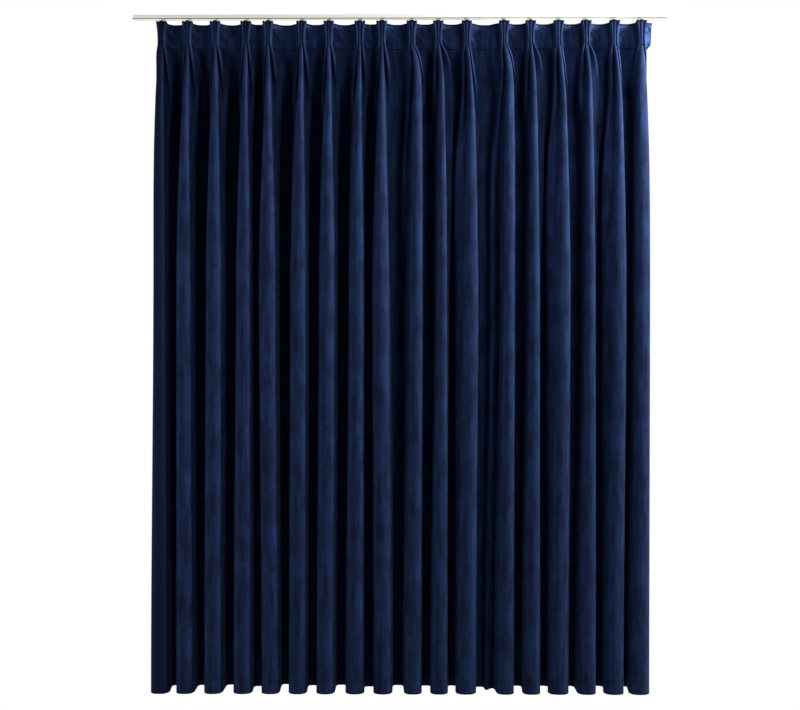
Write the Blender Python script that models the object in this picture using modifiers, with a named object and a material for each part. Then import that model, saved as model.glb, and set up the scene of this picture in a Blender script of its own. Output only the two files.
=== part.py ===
"""Pinch pleat velvet curtain hanging closed from a slim ceiling track.

Metres, +Z up.  The front faces -Y and the width runs along X.  The origin is
the middle of the track's top face, the face that goes against the ceiling.
"""
import math
from collections import namedtuple

import bmesh
import bpy
import numpy as np

OBJECT_NAME = "pinch_pleat_curtain_and_track"
WELD_DISTANCE = 0.00001
CLEARANCE = 0.0003               # gap between pieces that touch

# Ceiling track: a C-shaped channel with its slot underneath
TRACK_LENGTH = 1.963
TRACK_DEPTH = 0.018
TRACK_HEIGHT = 0.014
TRACK_WALL = 0.0016
TRACK_SLOT = 0.005
CAP_THICKNESS = 0.002
CAP_PLUG = 0.012

# Gliders: a shoe in the channel, a plate through the slot and an eye below
SHOE_LENGTH = 0.014
SHOE_DEPTH = 0.011
SHOE_HEIGHT = 0.004
GLIDER_THICKNESS = 0.003
GLIDER_NECK = 0.008
GLIDER_APRON = 0.018
APRON_HEIGHT = 0.003
EYE_RADIUS = 0.0048
EYE_HOLE = 0.0025
EYE_SINK = 0.0038                # how far the eye's centre lies below the apron
EYE_SIDES = 12

# Hooks: bent wire from the back of each pleat over the glider's eye
HOOK_RADIUS = 0.0011
HOOK_STEM = 0.0092               # how far in front of the eye the wire's stem stands
HOOK_TIP = 0.0055                # how far behind the eye its tip hangs
HOOK_TIP_DROP = 0.008
HOOK_BEND = 0.0025               # reach of each of the wire's two bends
HOOK_BEND_CUT = 0.00075          # how far inside its corner a bend's middle point lies
HOOK_STEM_END = 0.062            # how far down behind the pleat, from the cloth's top

# Cloth
DROP = 2.450                     # top of the pleats to the hem
CLOTH_THICKNESS = 0.0016
CLOTH_TOP = -0.032               # height of the tops of the pleats
HEADING = 0.090                  # depth of the stiffened heading
SIDE_DIP = 0.0025                # how far a pleat's outer folds lie below its middle one
PANEL_DIP = 0.0045               # how far the heading lies below the pleats' tops
FOLD = 0.030                     # depth of one pinched fold, three to a pleat
HEADING_EASE = 1.04              # cloth to span of the heading between two pleats
END_FLAP = 0.030                 # cloth beyond the first and the last pleat
PLEAT_FRONT = -0.034             # front of the pinched folds
LOBE_FRONT = -0.053              # front of the rounded folds below them
PLEAT_BACK_ANGLE = math.radians(91)
FAN_AT_TOP = math.radians(7)     # the outer folds spread at the top edge

# How the pleats open into rounded folds below the heading
OPENING_DROP = 0.24
OPENING_POWER = 1.2
PANEL_OPENS_OVER = 0.20          # drop over which the flat heading turns into a valley
WAIST_DROP = 0.89                # where the pleats' waist columns are measured
PINCHED_HALF = 0.022             # what the shares of a pinched fold's front are taken of
FRONT_ROUNDING = 1.9             # turn of a fold's front to its half width
CREASE = 0.006                   # cloth in the crease behind a pinched fold
OPEN_CREASE = 0.030
BACK_TURN = 0.026
BACK_FLAT = 0.004                # half the flat at the back of a valley
WALL_ANGLE = math.radians(88)
FLAP_TURNS_FROM = 0.075          # drop at which the end flaps start to turn back
FLAP_TURNS_OVER = 0.030
LEFT_FLAP = math.radians(78)     # how far each end flap of the heading turns back
RIGHT_FLAP = math.radians(12)
SNUG_SPAN = 0.040                # pleats this close leave no room for side ridges
FULL_SPAN = 0.105

# A row for each pleat, left to right: where it stands across the width at the heading,
# at the waist and at the hem; half the width of its front at the waist and at the hem;
# the drop by which it stands at its waist place; and how its left and right sides open.
Pleat = namedtuple("Pleat", "head waist hem waist_half hem_half settles left right")
PLEATS = (
    Pleat(-0.872, -0.875, -0.874, 0.019, 0.029, 0.89, "end", "inner"),
    Pleat(-0.777, -0.789, -0.784, 0.022, 0.028, 0.89, "outer", "inner"),
    Pleat(-0.676, -0.678, -0.681, 0.024, 0.028, 0.89, "outer", "inner"),
    Pleat(-0.564, -0.569, -0.573, 0.023, 0.029, 0.89, "outer", "inner"),
    Pleat(-0.482, -0.484, -0.472, 0.028, 0.028, 0.89, "outer", "inner"),
    Pleat(-0.360, -0.369, -0.373, 0.024, 0.028, 0.89, "outer", "inner"),
    Pleat(-0.260, -0.266, -0.272, 0.024, 0.028, 0.89, "outer", "inner"),
    Pleat(-0.147, -0.157, -0.164, 0.023, 0.029, 0.89, "outer", "inner"),
    Pleat(-0.066, -0.071, -0.063, 0.027, 0.029, 0.89, "outer", "inner"),
    Pleat(0.043, 0.060, 0.048, 0.017, 0.027, 0.21, "far", "bold"),
    Pleat(0.140, 0.153, 0.142, 0.0145, 0.027, 0.25, "inner", "flat"),
    Pleat(0.244, 0.259, 0.239, 0.020, 0.034, 0.32, "shoulder", "outer"),
    Pleat(0.380, 0.396, 0.384, 0.017, 0.026, 0.21, "valley", "bold"),
    Pleat(0.477, 0.488, 0.478, 0.0155, 0.027, 0.25, "inner", "flat"),
    Pleat(0.579, 0.595, 0.576, 0.020, 0.034, 0.32, "shoulder", "outer"),
    Pleat(0.679, 0.690, 0.679, 0.0155, 0.028, 0.25, "inner", "flat"),
    Pleat(0.782, 0.798, 0.778, 0.020, 0.033, 0.32, "shoulder", "outer"),
    Pleat(0.880, 0.880, 0.869, 0.024, 0.032, 0.21, "end", "end"),
)

# Half width of a fold's front, as a share of its half width at the waist and below: for
# the folds in general and for the sides that open at once.
Front = namedtuple("Front", "drop share quick_share")
QUICK_SIDES = ("end", "bold")
FRONTS = (
    Front(0.000, 0.35, 0.35), Front(0.030, 0.26, 0.26), Front(0.060, 0.20, 0.20),
    Front(0.090, 0.19, 0.19), Front(0.120, 0.20, 0.42), Front(0.195, 0.24, 0.62),
    Front(0.286, 0.34, 0.74), Front(0.377, 0.44, 0.84), Front(0.470, 0.55, 0.92),
    Front(0.650, 0.78, 1.00), Front(0.890, 1.00, 1.00), Front(2.450, 1.00, 1.00),
)

# A pleat's side fold as it runs down: where its trough and its ridge lie, in folds of cloth,
# the angles in degrees of the cloth going back to the trough and forward to the ridge, how
# much of these angles holds, the cloth in each turn, and how far the valley moves aside.
Side = namedtuple(
    "Side", "drop trough ridge back forward hold trough_turn ridge_turn shift")
PINCHED = (
    Side(0.000, 1.00, 2.00, 107, -84, 1.00, 0.004, 0.018, 0.000),
    Side(0.035, 1.00, 2.00, 103, -83, 1.00, 0.004, 0.014, 0.000),
    Side(0.090, 1.00, 2.00, 99, -82, 1.00, 0.004, 0.013, 0.000),
)
HANGING = (
    Side(0.650, 2.00, 2.29, 85, 85, 0.00, 0.014, 0.024, 0.000),
    Side(2.450, 2.00, 2.29, 85, 85, 0.00, 0.014, 0.024, 0.000),
)
SIDES = {
    "inner": PINCHED + (
        Side(0.120, 1.10, 2.00, 86, -82, 1.00, 0.006, 0.015, 0.000),
        Side(0.195, 1.35, 2.00, 79, -66, 1.00, 0.010, 0.018, 0.000),
        Side(0.286, 1.65, 2.10, 75, -35, 0.90, 0.014, 0.022, 0.000),
        Side(0.377, 1.95, 2.20, 76, 35, 0.60, 0.014, 0.024, 0.000),
        Side(0.470, 2.00, 2.29, 80, 80, 0.25, 0.014, 0.024, 0.000)) + HANGING,
    "outer": PINCHED + (
        Side(0.120, 1.10, 1.95, 89, -86, 1.00, 0.005, 0.010, 0.000),
        Side(0.195, 1.32, 1.90, 88, -80, 1.00, 0.006, 0.010, 0.000),
        Side(0.286, 1.72, 1.95, 87, -30, 0.90, 0.010, 0.014, 0.000),
        Side(0.377, 1.95, 2.05, 86, 50, 0.60, 0.014, 0.020, 0.000),
        Side(0.470, 2.00, 2.29, 85, 85, 0.25, 0.014, 0.024, 0.000)) + HANGING,
    "bold": PINCHED + (
        Side(0.120, 1.12, 1.95, 89, -86, 1.00, 0.005, 0.010, 0.000),
        Side(0.195, 1.45, 1.85, 89, -78, 1.00, 0.006, 0.010, 0.000),
        Side(0.250, 1.68, 1.76, 89, -30, 1.00, 0.006, 0.010, 0.000),
        Side(0.286, 1.72, 1.78, 88, 60, 0.80, 0.008, 0.012, 0.000),
        Side(0.377, 1.95, 2.05, 87, 80, 0.50, 0.014, 0.020, 0.000)) + HANGING,
    "flat": PINCHED + (
        Side(0.120, 1.08, 2.00, 90, -45, 1.00, 0.005, 0.014, 0.000),
        Side(0.195, 1.20, 2.20, 88, -5, 1.00, 0.008, 0.018, 0.000),
        Side(0.286, 1.35, 2.40, 88, 0, 1.00, 0.010, 0.020, 0.000),
        Side(0.377, 1.40, 2.45, 87, 6, 1.00, 0.012, 0.024, 0.000),
        Side(0.470, 1.45, 2.45, 86, 12, 1.00, 0.016, 0.028, 0.000),
        Side(0.650, 1.52, 2.40, 84, 24, 1.00, 0.020, 0.030, 0.000),
        Side(0.890, 1.62, 2.35, 83, 40, 0.80, 0.020, 0.030, 0.000),
        Side(1.500, 1.85, 2.30, 83, 62, 0.40, 0.018, 0.028, 0.000),
        Side(2.450, 2.00, 2.29, 85, 85, 0.00, 0.014, 0.024, 0.000)),
    "far": PINCHED + (
        Side(0.120, 1.07, 2.00, 86, -84, 1.00, 0.006, 0.015, 0.000),
        Side(0.195, 1.45, 2.00, 87, -82, 1.00, 0.012, 0.016, 0.002),
        Side(0.286, 1.75, 2.20, 85, -70, 1.00, 0.018, 0.018, 0.012),
        Side(0.377, 2.05, 2.55, 83, -55, 1.00, 0.022, 0.022, 0.022),
        Side(0.470, 2.20, 2.90, 81, -45, 1.00, 0.026, 0.024, 0.033),
        Side(0.650, 2.40, 3.20, 80, -25, 0.80, 0.028, 0.026, 0.038),
        Side(0.890, 2.50, 3.20, 82, 10, 0.40, 0.030, 0.028, 0.020),
        Side(1.500, 2.20, 2.60, 85, 70, 0.10, 0.020, 0.024, 0.000),
        Side(2.450, 2.00, 2.29, 85, 85, 0.00, 0.014, 0.024, 0.000)),
    "end": PINCHED + (
        Side(0.120, 1.10, 1.95, 89, -89, 1.00, 0.004, 0.007, 0.000),
        Side(0.180, 1.45, 1.85, 89, -88, 1.00, 0.004, 0.006, 0.000),
        Side(0.220, 1.68, 1.74, 89, -60, 1.00, 0.004, 0.006, 0.000),
        Side(0.250, 1.70, 1.72, 89, 89, 0.80, 0.006, 0.008, 0.000),
        Side(0.377, 1.90, 2.10, 89, 89, 0.40, 0.012, 0.016, 0.000),
        Side(0.650, 2.00, 2.29, 88, 88, 0.00, 0.014, 0.024, 0.000),
        Side(2.450, 2.00, 2.29, 88, 88, 0.00, 0.014, 0.024, 0.000)),
    "shoulder": PINCHED + (
        Side(0.120, 1.07, 2.00, 86, -84, 1.00, 0.006, 0.015, 0.002),
        Side(0.195, 1.40, 2.05, 88, -84, 1.00, 0.022, 0.016, 0.010),
        Side(0.286, 1.50, 2.15, 86, -78, 1.00, 0.024, 0.018, 0.030),
        Side(0.377, 1.50, 2.20, 82, -60, 1.00, 0.026, 0.022, 0.045),
        Side(0.470, 1.50, 2.30, 74, -30, 1.00, 0.026, 0.026, 0.050),
        Side(0.650, 1.50, 2.43, 56, 4, 0.90, 0.024, 0.030, 0.048),
        Side(0.890, 1.43, 2.50, 42, 22, 0.80, 0.020, 0.034, 0.037),
        Side(1.500, 1.50, 2.50, 40, 24, 0.80, 0.020, 0.034, 0.010),
        Side(2.450, 2.00, 2.50, 85, 85, 0.00, 0.020, 0.034, -0.007)),
    "valley": PINCHED + (
        Side(0.120, 1.07, 2.00, 84, -82, 1.00, 0.006, 0.015, 0.000),
        Side(0.195, 1.45, 2.00, 87, -82, 1.00, 0.012, 0.016, 0.004),
        Side(0.286, 1.85, 2.30, 84, -70, 1.00, 0.018, 0.020, 0.021),
        Side(0.377, 2.29, 2.85, 82, -55, 1.00, 0.022, 0.022, 0.036),
        Side(0.470, 2.64, 3.43, 78, -45, 1.00, 0.024, 0.026, 0.066),
        Side(0.650, 2.93, 4.00, 80, -60, 1.00, 0.030, 0.028, 0.097),
        Side(0.890, 3.07, 4.21, 84, -68, 1.00, 0.034, 0.030, 0.103),
        Side(2.450, 3.07, 4.14, 86, -66, 1.00, 0.034, 0.030, 0.093)),
}


# Columns of the sheet on half a pleat.  The first three go round the fold's front, at
# these shares of its turn.  The others lie at the side fold while it is pinched, this
# far to each side of its trough and ridge, and move to the valley's back as it opens.
FRONT_COLUMNS = (-0.34, 0.02, 0.36)
TURN_SHARE = 0.40
BACK_COLUMNS = (-0.46, -0.05, 0.42)
COLUMNS_MOVE_FROM = 0.16
COLUMNS_MOVE_TO = 0.62

# Drops at which the sheet has a row of points, closest where the pleats open
ROW_DROPS = (0.0, HEADING, 0.14, 0.21, 0.33, 0.62, 1.45, DROP)
PATH_STEPS = 500
SOLVER_ROUNDS = 30

COLOURS = {
    "velvet_navy": ((0.012, 0.026, 0.085, 1), 0.85, 0.0),
    "track_white": ((0.80, 0.79, 0.75, 1), 0.35, 0.0),
    "glider_cream": ((0.78, 0.76, 0.68, 1), 0.40, 0.0),
    "hook_steel": ((0.55, 0.55, 0.56, 1), 0.30, 1.0),
}


# ---------------------------------------------------------------- cloth shape
def rise(place, middle, width):
    """A smooth rise from 0 to 1, centred on middle."""
    part = np.clip((place - middle) / width + 0.5, 0, 1)
    return part * part * (3 - 2 * part)


def ease(value):
    return rise(value, 0.5, 1.0)


def from_table(table, drop):
    """A table's row at one drop, read between its rows."""
    drops = [row[0] for row in table]
    columns = list(zip(*table))
    return type(table[0])(*(float(np.interp(drop, drops, column)) for column in columns))


def openness(drop):
    """0 where the pleat is pinched, rising to 1 where it hangs as one fold."""
    return 1 - math.exp(-(max(0.0, drop - HEADING) / OPENING_DROP) ** OPENING_POWER)


def pleat_middle(pleat, drop):
    """Where the middle of a pleat lies across the curtain."""
    to_waist = 1 - (1 - np.clip((drop - HEADING) / (pleat.settles - HEADING), 0, 1)) ** 2
    to_hem = ease((drop - WAIST_DROP) / (DROP - WAIST_DROP))
    return (pleat.head + (pleat.waist - pleat.head) * to_waist
            + (pleat.hem - pleat.waist) * to_hem)


def side_shape(pleat, kind, drop, room):
    """Everything that sets one side of a pleat at one drop."""
    side = from_table(SIDES[kind], drop)
    to_waist = ease((drop - HEADING) / (WAIST_DROP - HEADING))
    to_hem = ease((drop - WAIST_DROP) / (DROP - WAIST_DROP))
    half = (PINCHED_HALF + (pleat.waist_half - PINCHED_HALF) * to_waist
            + (pleat.hem_half - pleat.waist_half) * to_hem)
    width = from_table(FRONTS, drop)
    front = half * (width.quick_share if kind in QUICK_SIDES else width.share)
    return {
        "front": front, "front_turn": FRONT_ROUNDING * front,
        "trough": FOLD * side.trough, "trough_turn": side.trough_turn,
        "ridge": FOLD * side.ridge, "ridge_turn": side.ridge_turn,
        "back": math.radians(90 - (90 - side.back) * room),
        "forward": math.radians((90 + side.forward) * room - 90),
        "hold": side.hold, "shift": side.shift,
        "crease_turn": CREASE + OPEN_CREASE * openness(drop),
        "opened": float(ease((drop - HEADING) / PANEL_OPENS_OVER)),
        "fan": FAN_AT_TOP * max(0.0, 1 - drop / HEADING) ** 2,
    }


def side_folds(shape, along):
    """Turning angle of the pinched folds on one side of a pleat."""
    hold, pinned = shape["hold"], PLEAT_BACK_ANGLE * (1 - shape["opened"])
    back, forward = hold * shape["back"], hold * shape["forward"]
    crease = 3 * FOLD
    fan = rise(along, shape["trough"], shape["trough_turn"])
    fan = fan - rise(along, crease, shape["crease_turn"])
    return (back * rise(along, shape["front"], shape["front_turn"])
            + (forward - back) * rise(along, shape["trough"], shape["trough_turn"])
            + (pinned - forward) * rise(along, shape["ridge"], shape["ridge_turn"])
            - pinned * rise(along, crease, shape["crease_turn"])
            + shape["fan"] * fan)


def side_wall(shape, along, middle):
    """1 on the wall that goes back to the valley, 0 at the fold's front and the valley's back."""
    loose = 1 - shape["hold"]
    return (loose * rise(along, shape["front"], shape["front_turn"])
            + (shape["opened"] - loose) * rise(along, shape["ridge"], shape["ridge_turn"])
            + (1 - shape["opened"]) * rise(along, 3 * FOLD, shape["crease_turn"])
            - rise(along, middle - BACK_FLAT - BACK_TURN / 2, BACK_TURN))


def running_sum(values, step):
    return np.concatenate([[0], np.cumsum((values[1:] + values[:-1]) / 2 * step)])


def pinched_width():
    """Width of a pleat at its tack, where the heading ends."""
    shape = side_shape(PLEATS[2], "inner", HEADING, 1)
    along = np.linspace(0, 3 * FOLD + CREASE / 2, PATH_STEPS)
    width = running_sum(np.cos(side_folds(shape, along)), along[1])[-1]
    return 2 * (width - CREASE / 2)


def cloth_between(left, right):
    """Length of cloth from the middle of one pleat to the middle of the next."""
    return 6 * FOLD + (right.head - left.head - pinched_width()) * HEADING_EASE


def gap_shapes(left, right, drop):
    """The two sides that face each other across a gap, and the valley's place."""
    span = right.head - left.head
    room = min(1.0, (span - SNUG_SPAN) / (FULL_SPAN - SNUG_SPAN))
    first = side_shape(left, left.right, drop, room)
    second = side_shape(right, right.left, drop, room)
    return first, second, cloth_between(left, right) * (0.5 - second["shift"])


def gap_path(left, right, drop):
    """Path of the cloth from one pleat's middle to the next at one drop."""
    length = cloth_between(left, right)
    first, second, middle = gap_shapes(left, right, drop)
    along = np.linspace(0, length, PATH_STEPS)
    step = along[1]
    before = along <= middle
    rest = length - along
    folds = np.where(before, side_folds(first, along), -side_folds(second, rest))
    walls = np.where(
        before, side_wall(first, along, middle), -side_wall(second, rest, length - middle))
    lean_share = np.sin(math.pi * along / length)
    start = pleat_middle(left, drop)
    span = pleat_middle(right, drop) - start
    unknown = np.array([1.0, 0.0])
    for _ in range(SOLVER_ROUNDS):
        angle = folds + unknown[0] * walls + unknown[1] * lean_share
        x = running_sum(np.cos(angle), step)
        y = running_sum(np.sin(angle), step)
        miss = np.array([x[-1] - span, y[-1]])
        if abs(miss).max() < 1e-7:
            break
        slopes = np.array([
            [running_sum(-np.sin(angle) * walls, step)[-1],
             running_sum(-np.sin(angle) * lean_share, step)[-1]],
            [running_sum(np.cos(angle) * walls, step)[-1],
             running_sum(np.cos(angle) * lean_share, step)[-1]]])
        unknown = unknown + np.clip(np.linalg.solve(slopes, -miss), -0.2, 0.2)
    return along, start + x, y


def end_path(pleat, kind, drop, flap_angle):
    """Path of the cloth from an end pleat's middle out to the selvedge."""
    shape = side_shape(pleat, kind, drop, 1)
    opened = openness(drop)
    along = np.linspace(0, 3 * FOLD + END_FLAP, PATH_STEPS)
    loose = (1 - shape["hold"]) * rise(along, shape["front"], shape["front_turn"])
    loose = loose + (shape["opened"] + shape["hold"] - 1) * rise(
        along, shape["ridge"], shape["ridge_turn"])
    loose = loose + (1 - shape["opened"]) * rise(along, 3 * FOLD, CREASE)
    turned = float(ease((drop - FLAP_TURNS_FROM) / FLAP_TURNS_OVER))
    flap = flap_angle + (WALL_ANGLE - flap_angle) * turned
    angle = side_folds(shape, along) + flap * loose
    x = running_sum(np.cos(angle), along[1])
    y = running_sum(np.sin(angle), along[1])
    return along, pleat_middle(pleat, drop), x, y


def half_columns(shape, drop, valley):
    """Places of the sheet's columns from a pleat's middle to the valley's middle."""
    front = [shape["front"] + shape["front_turn"] * share for share in FRONT_COLUMNS]
    pinched = []
    for name in ("trough", "ridge"):
        reach = shape[name + "_turn"] * TURN_SHARE
        pinched += [shape[name] - reach, shape[name] + reach]
    pinched.append(3 * FOLD)
    back = valley - BACK_FLAT - BACK_TURN / 2
    hanging = [shape["trough"], shape["ridge"]]
    hanging += [back + BACK_TURN * share for share in BACK_COLUMNS]
    moved = (drop - COLUMNS_MOVE_FROM) / (COLUMNS_MOVE_TO - COLUMNS_MOVE_FROM)
    moved = float(ease(moved))
    return front + [near + (far - near) * moved for near, far in zip(pinched, hanging)]


def end_columns(pleat, kind, drop):
    """Places of the sheet's columns from an end pleat's middle to the selvedge."""
    selvedge = 3 * FOLD + END_FLAP
    return half_columns(side_shape(pleat, kind, drop, 1), drop, selvedge) + [selvedge]


def top_sag(place):
    """How far the top edge lies below the pleat's middle fold, this far along the cloth."""
    return (SIDE_DIP * rise(place, FOLD, FOLD)
            + (PANEL_DIP - SIDE_DIP) * rise(place, 3 * FOLD, FOLD))


def row_points(drop):
    """One row of the sheet, selvedge to selvedge, as x, y and height."""
    front = PLEAT_FRONT + (LOBE_FRONT - PLEAT_FRONT) * openness(drop)
    sag_share = 1 if drop == 0 else 0
    first, last = PLEATS[0], PLEATS[-1]
    points = []

    def add(place_in_pleat, x, y):
        sag = sag_share * top_sag(place_in_pleat)
        points.append((x, front + y, CLOTH_TOP - drop - sag))

    along, start, x, y = end_path(first, first.left, drop, LEFT_FLAP)
    for place in reversed(end_columns(first, first.left, drop)):
        add(place, start - np.interp(place, along, x), np.interp(place, along, y))
    for left, right in zip(PLEATS, PLEATS[1:]):
        along, x, y = gap_path(left, right, drop)
        one, two, middle = gap_shapes(left, right, drop)
        length = along[-1]
        for place in half_columns(one, drop, middle):
            add(place, np.interp(place, along, x), np.interp(place, along, y))
        for place in reversed(half_columns(two, drop, length - middle)):
            add(place, np.interp(length - place, along, x), np.interp(length - place, along, y))
    along, start, x, y = end_path(last, last.right, drop, RIGHT_FLAP)
    for place in end_columns(last, last.right, drop):
        add(place, start + np.interp(place, along, x), np.interp(place, along, y))
    return points


# -------------------------------------------------------------- Blender tools
def clear_scene():
    for item in list(bpy.data.objects):
        bpy.data.objects.remove(item, do_unlink=True)


def make_material(name):
    colour, roughness, metallic = COLOURS[name]
    material = bpy.data.materials.new(name)
    material.use_nodes = True
    shader = material.node_tree.nodes["Principled BSDF"]
    shader.inputs["Base Color"].default_value = colour
    shader.inputs["Roughness"].default_value = roughness
    shader.inputs["Metallic"].default_value = metallic
    return material


def add_object(name, data, collection, material):
    item = bpy.data.objects.new(name, data)
    collection.objects.link(item)
    data.materials.append(material)
    return item


def closed_outline(curve, points):
    spline = curve.splines.new("POLY")
    spline.points.add(len(points) - 1)
    for point, (x, y) in zip(spline.points, points):
        point.co = (x, y, 0, 1)
    spline.use_cyclic_u = True


def flat_curve(name, outlines, thickness):
    """A flat outline, with holes where outlines nest, given a thickness."""
    curve = bpy.data.curves.new(name, "CURVE")
    curve.dimensions = "2D"
    curve.fill_mode = "BOTH"
    curve.extrude = thickness / 2
    for outline in outlines:
        closed_outline(curve, outline)
    return curve


def mesh_from_curve(item):
    """Replace a curve object by a welded mesh object at the same place."""
    name, collection, matrix = item.name, item.users_collection[0], item.matrix_world.copy()
    material = item.data.materials[0]
    graph = bpy.context.evaluated_depsgraph_get()
    mesh = bpy.data.meshes.new_from_object(item.evaluated_get(graph))
    bpy.data.objects.remove(item, do_unlink=True)
    shape = bmesh.new()
    shape.from_mesh(mesh)
    bmesh.ops.remove_doubles(shape, verts=shape.verts, dist=WELD_DISTANCE)
    shape.to_mesh(mesh)
    shape.free()
    mesh.materials.clear()
    result = add_object(name, mesh, collection, material)
    result.matrix_world = matrix
    return result


def box_mesh(name, size, centre):
    shape = bmesh.new()
    bmesh.ops.create_cube(shape, size=1)
    bmesh.ops.scale(shape, vec=size, verts=shape.verts)
    bmesh.ops.translate(shape, vec=centre, verts=shape.verts)
    mesh = bpy.data.meshes.new(name)
    shape.to_mesh(mesh)
    shape.free()
    return mesh


def unite(item, tool, name):
    """Join a hidden solid to an object with a Boolean union."""
    tool.hide_render = True
    tool.display_type = "WIRE"
    union = item.modifiers.new(name, "BOOLEAN")
    union.operation = "UNION"
    union.solver = "EXACT"
    union.object = tool


# --------------------------------------------------------------------- pieces
def build_curtain(collection, material):
    """The one sheet of velvet: a grid shaped row by row, then given thickness."""
    rows = [row_points(drop) for drop in ROW_DROPS]
    across, down = len(rows[0]) - 1, len(rows) - 1
    shape = bmesh.new()
    bmesh.ops.create_grid(shape, x_segments=across, y_segments=down, size=1)
    for vertex in shape.verts:
        column = round((vertex.co.x + 1) / 2 * across)
        row = round((1 - vertex.co.y) / 2 * down)
        vertex.co = rows[row][column]
    mesh = bpy.data.meshes.new("curtain_panel")
    shape.to_mesh(mesh)
    shape.free()
    curtain = add_object("curtain_panel", mesh, collection, material)
    solid = curtain.modifiers.new("cloth_thickness", "SOLIDIFY")
    solid.thickness = CLOTH_THICKNESS
    solid.offset = 0
    solid.use_even_offset = True


def build_track(collection, material):
    """The C-shaped channel, drawn in section and extruded along X."""
    half, slot = TRACK_DEPTH / 2, TRACK_SLOT / 2
    inner = half - TRACK_WALL
    top, bottom = -TRACK_WALL, -TRACK_HEIGHT + TRACK_WALL
    section = [
        (-slot, -TRACK_HEIGHT), (-slot, bottom), (-inner, bottom), (-inner, top),
        (inner, top), (inner, bottom), (slot, bottom), (slot, -TRACK_HEIGHT),
        (half, -TRACK_HEIGHT), (half, 0), (-half, 0), (-half, -TRACK_HEIGHT)]
    track = add_object("track", flat_curve("track", [section], TRACK_LENGTH), collection, material)
    track.rotation_euler = (math.pi / 2, 0, math.pi / 2)
    for side, name in ((-1, "end_cap_left"), (1, "end_cap_right")):
        outer = TRACK_LENGTH / 2 + CLEARANCE
        plate = box_mesh(
            name, (CAP_THICKNESS, TRACK_DEPTH, TRACK_HEIGHT),
            (side * (outer + CAP_THICKNESS / 2), 0, -TRACK_HEIGHT / 2))
        cap = add_object(name, plate, collection, material)
        play = 2 * CLEARANCE
        plug = box_mesh(
            name + "_plug",
            (CAP_PLUG, 2 * inner - play, TRACK_HEIGHT - 2 * TRACK_WALL - play),
            (side * (outer + CAP_THICKNESS / 2 - CAP_PLUG / 2), 0, -TRACK_HEIGHT / 2))
        unite(cap, add_object(name + "_plug", plug, tools(), material), "plug")


def tools():
    """The collection of the solids that are joined to others."""
    collection = bpy.data.collections.get("joined_solids")
    if collection is None:
        collection = bpy.data.collections.new("joined_solids")
        bpy.context.scene.collection.children.link(collection)
    return collection


def eye_height():
    return -TRACK_HEIGHT - CLEARANCE - APRON_HEIGHT - EYE_SINK


def glider_outlines():
    """The glider's plate seen from the front: neck, apron and round eye."""
    channel_floor = -TRACK_HEIGHT + TRACK_WALL
    apron_top = -TRACK_HEIGHT - CLEARANCE
    apron_bottom = apron_top - APRON_HEIGHT
    neck, apron = GLIDER_NECK / 2, GLIDER_APRON / 2
    top = channel_floor + CLEARANCE + SHOE_HEIGHT / 2
    centre = eye_height()
    start = math.asin((apron_bottom - centre) / EYE_RADIUS)
    turn = math.pi + 2 * start
    eye = []
    for number in range(1, EYE_SIDES):
        angle = start - turn * number / EYE_SIDES
        eye.append((EYE_RADIUS * math.cos(angle), centre + EYE_RADIUS * math.sin(angle)))
    outer = [(-neck, top), (neck, top), (neck, apron_top), (apron, apron_top),
             (apron, apron_bottom)] + eye + [(-apron, apron_bottom), (-apron, apron_top),
                                             (-neck, apron_top)]
    hole = []
    for number in range(EYE_SIDES):
        angle = 2 * math.pi * number / EYE_SIDES
        hole.append((EYE_HOLE * math.cos(angle), centre + EYE_HOLE * math.sin(angle)))
    return [outer, hole]


def build_glider(number, x, collection, material):
    name = f"glider_{number:02d}"
    curve = flat_curve(name, glider_outlines(), GLIDER_THICKNESS)
    plate = add_object(name, curve, collection, material)
    plate.rotation_euler = (math.pi / 2, 0, 0)
    plate.location = (x, 0, 0)
    bpy.context.view_layer.update()
    glider = mesh_from_curve(plate)
    channel_floor = -TRACK_HEIGHT + TRACK_WALL
    shoe = box_mesh(
        name + "_shoe", (SHOE_LENGTH, SHOE_DEPTH, SHOE_HEIGHT),
        (x, 0, channel_floor + CLEARANCE + SHOE_HEIGHT / 2))
    unite(glider, add_object(name + "_shoe", shoe, tools(), material), "shoe")


def build_hook(number, x, collection, material):
    """Wire that stands behind the pleat and bends back through the eye."""
    seat = eye_height() - EYE_HOLE + CLEARANCE + HOOK_RADIUS
    bend, cut = HOOK_BEND, HOOK_BEND_CUT
    path = [
        (-HOOK_STEM, CLOTH_TOP - HOOK_STEM_END),
        (-HOOK_STEM, seat - bend),
        (-HOOK_STEM + cut, seat - cut),
        (-HOOK_STEM + bend, seat),
        (HOOK_TIP - bend, seat),
        (HOOK_TIP - cut, seat - cut),
        (HOOK_TIP, seat - bend),
        (HOOK_TIP, seat - HOOK_TIP_DROP)]
    name = f"hook_{number:02d}"
    curve = bpy.data.curves.new(name, "CURVE")
    curve.dimensions = "3D"
    curve.bevel_depth = HOOK_RADIUS
    curve.bevel_resolution = 2
    curve.use_fill_caps = True
    spline = curve.splines.new("POLY")
    spline.points.add(len(path) - 1)
    for point, (y, z) in zip(spline.points, path):
        point.co = (0, y, z, 1)
    hook = add_object(name, curve, collection, material)
    hook.location = (x, 0, 0)


def main():
    clear_scene()
    collection = bpy.data.collections.new(OBJECT_NAME)
    bpy.context.scene.collection.children.link(collection)
    materials = {name: make_material(name) for name in COLOURS}
    build_curtain(collection, materials["velvet_navy"])
    build_track(collection, materials["track_white"])
    for number, pleat in enumerate(PLEATS, start=1):
        build_glider(number, pleat.head, collection, materials["glider_cream"])
        build_hook(number, pleat.head, collection, materials["hook_steel"])


main()
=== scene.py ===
"""Pinch pleat velvet curtain on a ceiling track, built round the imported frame."""
import math
from collections import namedtuple

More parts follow.
